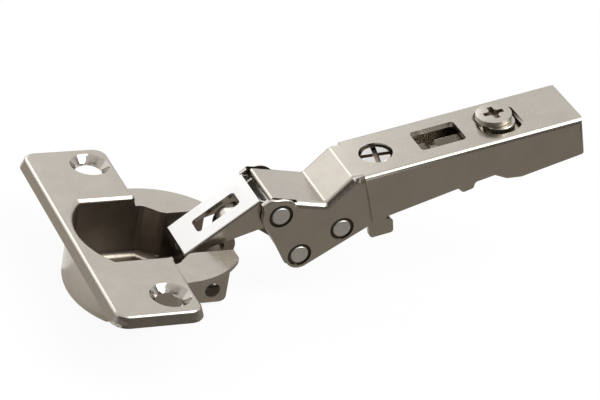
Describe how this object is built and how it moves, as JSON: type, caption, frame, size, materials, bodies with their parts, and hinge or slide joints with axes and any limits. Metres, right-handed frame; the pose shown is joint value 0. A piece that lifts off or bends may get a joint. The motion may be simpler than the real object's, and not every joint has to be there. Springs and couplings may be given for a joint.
{
  "type": "angled cabinet hinge",
  "caption": "Concealed cabinet hinge with a drawn cup, two links and an angled clip-on arm; shown fully open, swings a door shut and adjusts in depth.",
  "frame": {"origin": "on the axis of the cup's 35 mm bore, at the door's face under the flange", "axes": "+Z out of the door; +X from the cup to the arm; the hinge is mirror-symmetric about the XZ plane. Stored fully open."},
  "size_m": [0.1092, 0.0614, 0.038],
  "materials": {
    "cup_nickel": "satin nickel plate on drawn steel",
    "arm_nickel": "satin nickel plate on folded steel",
    "link_nickel": "bright nickel plate",
    "carriage_nickel": "satin nickel plate",
    "adjuster_nickel": "nickel plate, lightly polished",
    "rivet_steel": "grey satin",
    "spring_wire": "drawn spring wire"
  },
  "bodies": {
    "cup": {"cup_shell": "cup_nickel", "inner_link_pin": "rivet_steel", "outer_link_stud_near": "rivet_steel", "outer_link_stud_far": "rivet_steel"},
    "outer_link": {"outer_link": "link_nickel"},
    "inner_link": {"inner_link": "link_nickel"},
    "arm": {"hinge_arm": "arm_nickel", "front_rivet": "rivet_steel", "rear_rivet": "rivet_steel", "lower_rivet": "rivet_steel", "spring_sleeve": "rivet_steel", "closing_spring": "spring_wire", "cam_follower": "carriage_nickel"},
    "carriage": {"carriage": "carriage_nickel", "cam_washer": "carriage_nickel", "latch_pin": "rivet_steel", "latch_spring": "spring_wire"},
    "depth_cam": {"depth_cam": "adjuster_nickel"},
    "overlay_screw": {"overlay_screw": "adjuster_nickel"},
    "latch_lever": {"latch_lever": "carriage_nickel"}
  },
  "joints": [
    {"name": "outer_link_pivot", "type": "hinge", "parent": "cup", "child": "outer_link", "pos_m": [0.0081, 0, -0.0053], "axis": [0, -1, 0], "range_deg": [0, 125.35]},
    {"name": "arm_pivot", "type": "hinge", "parent": "outer_link", "child": "arm", "pos_m": [0.02315, 0, 0.00658], "axis": [0, -1, 0], "range_deg": [-30.5, 0]},
    {"name": "inner_link_pivot", "type": "hinge", "parent": "cup", "child": "inner_link", "pos_m": [0.0103, 0, -0.0087], "axis": [0, -1, 0], "range_deg": [0, 109.5]},
    {"name": "carriage_slide", "type": "slide", "parent": "arm", "child": "carriage", "axis": [0.9751, 0, 0.2215], "range_m": [-0.00049, 0.0015]},
    {"name": "depth_cam_turn", "type": "hinge", "parent": "carriage", "child": "depth_cam", "pos_m": [0.07082, 0, 0.02151], "axis": [-0.2215, 0, 0.9751], "range_deg": [-68, 22.4]},
    {"name": "overlay_screw_turn", "type": "hinge", "parent": "arm", "child": "overlay_screw", "pos_m": [0.04518, 0, 0.01569], "axis": [-0.2215, 0, 0.9751], "range_deg": [-540, 540]},
    {"name": "latch_pivot", "type": "hinge", "parent": "carriage", "child": "latch_lever", "pos_m": [0.08058, 0, 0.01696], "axis": [0, -1, 0], "range_deg": [0, 12], "stiffness_Nm_per_rad": 0.01, "springref_deg": -28.65}
  ],
  "couplings": [
    {"joint": "arm_pivot", "follows": "outer_link_pivot", "ratio": -0.2421},
    {"joint": "inner_link_pivot", "follows": "outer_link_pivot", "ratio": 0.8728},
    {"joint": "depth_cam_turn", "follows": "carriage_slide", "rad_per_m": -787}
  ]
}
